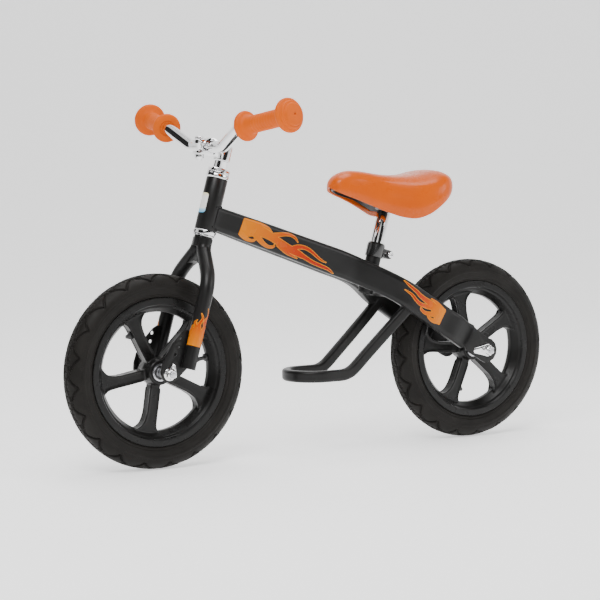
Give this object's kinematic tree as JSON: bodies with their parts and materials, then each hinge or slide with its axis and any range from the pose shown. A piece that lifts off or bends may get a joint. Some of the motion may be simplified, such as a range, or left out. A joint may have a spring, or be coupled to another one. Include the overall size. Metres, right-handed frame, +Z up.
{
  "type": "balance bike",
  "caption": "Small pedal-free balance bike with a twin flat-oval tube frame, looped footrest, spoked plastic wheels, pneumatic tyres and a height-adjustable saddle.",
  "frame": {"origin": "on the floor, midway between the wheel contact points", "axes": "+X forward, +Y to the rider's left, +Z up"},
  "size_m": [0.908, 0.4784, 0.5722],
  "materials": {
    "frame_paint": "satin black powder coat",
    "collar_paint": "semi-gloss black",
    "chrome": "bright chrome plate",
    "bright_steel": "zinc plated steel",
    "grip_rubber": "soft satin orange",
    "wheel_plastic": "satin black moulded",
    "tyre_rubber": "matt black rubber",
    "valve_rubber": "black rubber with a plastic cap",
    "clip_plastic": "black plastic",
    "saddle_cover": "glossy orange",
    "saddle_base": "black moulded"
  },
  "bodies": {
    "frame": {"head_tube": "frame_paint", "frame_tube_left": "frame_paint", "frame_tube_right": "frame_paint", "seat_tube": "frame_paint", "frame_bridge_lower": "frame_paint", "frame_bridge_upper": "frame_paint", "rear_dropout_left": "frame_paint", "rear_dropout_right": "frame_paint", "footrest_tube": "frame_paint", "seat_collar": "collar_paint", "seat_collar_bolt": "chrome", "seat_collar_nut": "chrome", "headset_upper_cup": "chrome", "headset_lower_cup": "chrome", "rear_axle": "bright_steel", "rear_nut_left": "chrome", "rear_nut_right": "chrome", "rear_tab_washer_left": "chrome", "rear_tab_washer_right": "chrome", "rear_spacer_left": "bright_steel", "rear_spacer_right": "bright_steel"},
    "fork": {"fork_steerer": "bright_steel", "fork_crown": "frame_paint", "fork_leg_left": "frame_paint", "fork_leg_right": "frame_paint", "fork_dropout_left": "frame_paint", "fork_dropout_right": "frame_paint", "crown_race": "chrome", "headset_upper_race": "chrome", "headset_lock_nut": "chrome", "front_axle": "bright_steel", "front_nut_left": "chrome", "front_nut_right": "chrome", "front_tab_washer_left": "chrome", "front_tab_washer_right": "chrome", "front_spacer_left": "bright_steel", "front_spacer_right": "bright_steel"},
    "stem": {"quill_stem": "chrome", "stem_expander_bolt": "bright_steel", "stem_wedge": "bright_steel", "stem_clamp_bolt": "chrome", "stem_clamp_nut": "chrome"},
    "handlebar": {"handlebar": "chrome", "grip_left": "grip_rubber", "grip_right": "grip_rubber"},
    "front_wheel": {"front_rim": "wheel_plastic", "front_tyre": "tyre_rubber", "front_bearing_left": "bright_steel", "front_bearing_right": "bright_steel", "front_valve": "valve_rubber", "front_spoke_clip": "clip_plastic"},
    "rear_wheel": {"rear_rim": "wheel_plastic", "rear_tyre": "tyre_rubber", "rear_bearing_left": "bright_steel", "rear_bearing_right": "bright_steel", "rear_valve": "valve_rubber", "rear_spoke_clip": "clip_plastic"},
    "saddle": {"seat_post": "chrome", "saddle_base": "saddle_base", "saddle_cover": "saddle_cover"}
  },
  "joints": [
    {"name": "steering", "type": "hinge", "parent": "frame", "child": "fork", "pos_m": [0.2096, 0, 0.369], "axis": [-0.2756, 0, 0.9613], "range_deg": [-80, 80]},
    {"name": "front_wheel_spin", "type": "hinge", "parent": "fork", "child": "front_wheel", "pos_m": [0.3015, 0, 0.1525], "axis": [0, 1, 0], "continuous": true},
    {"name": "rear_wheel_spin", "type": "hinge", "parent": "frame", "child": "rear_wheel", "pos_m": [-0.3015, 0, 0.1525], "axis": [0, 1, 0], "continuous": true},
    {"name": "stem_height", "type": "slide", "parent": "fork", "child": "stem", "axis": [-0.2756, 0, 0.9613], "range_m": [-0.01, 0.02]},
    {"name": "bar_tilt", "type": "hinge", "parent": "stem", "child": "handlebar", "pos_m": [0.20328, 0, 0.50024], "axis": [0, 1, 0], "range_deg": [-20, 20]},
    {"name": "seat_height", "type": "slide", "parent": "frame", "child": "saddle", "axis": [-0.2756, 0, 0.9613], "range_m": [-0.03, 0.025]}
  ]
}
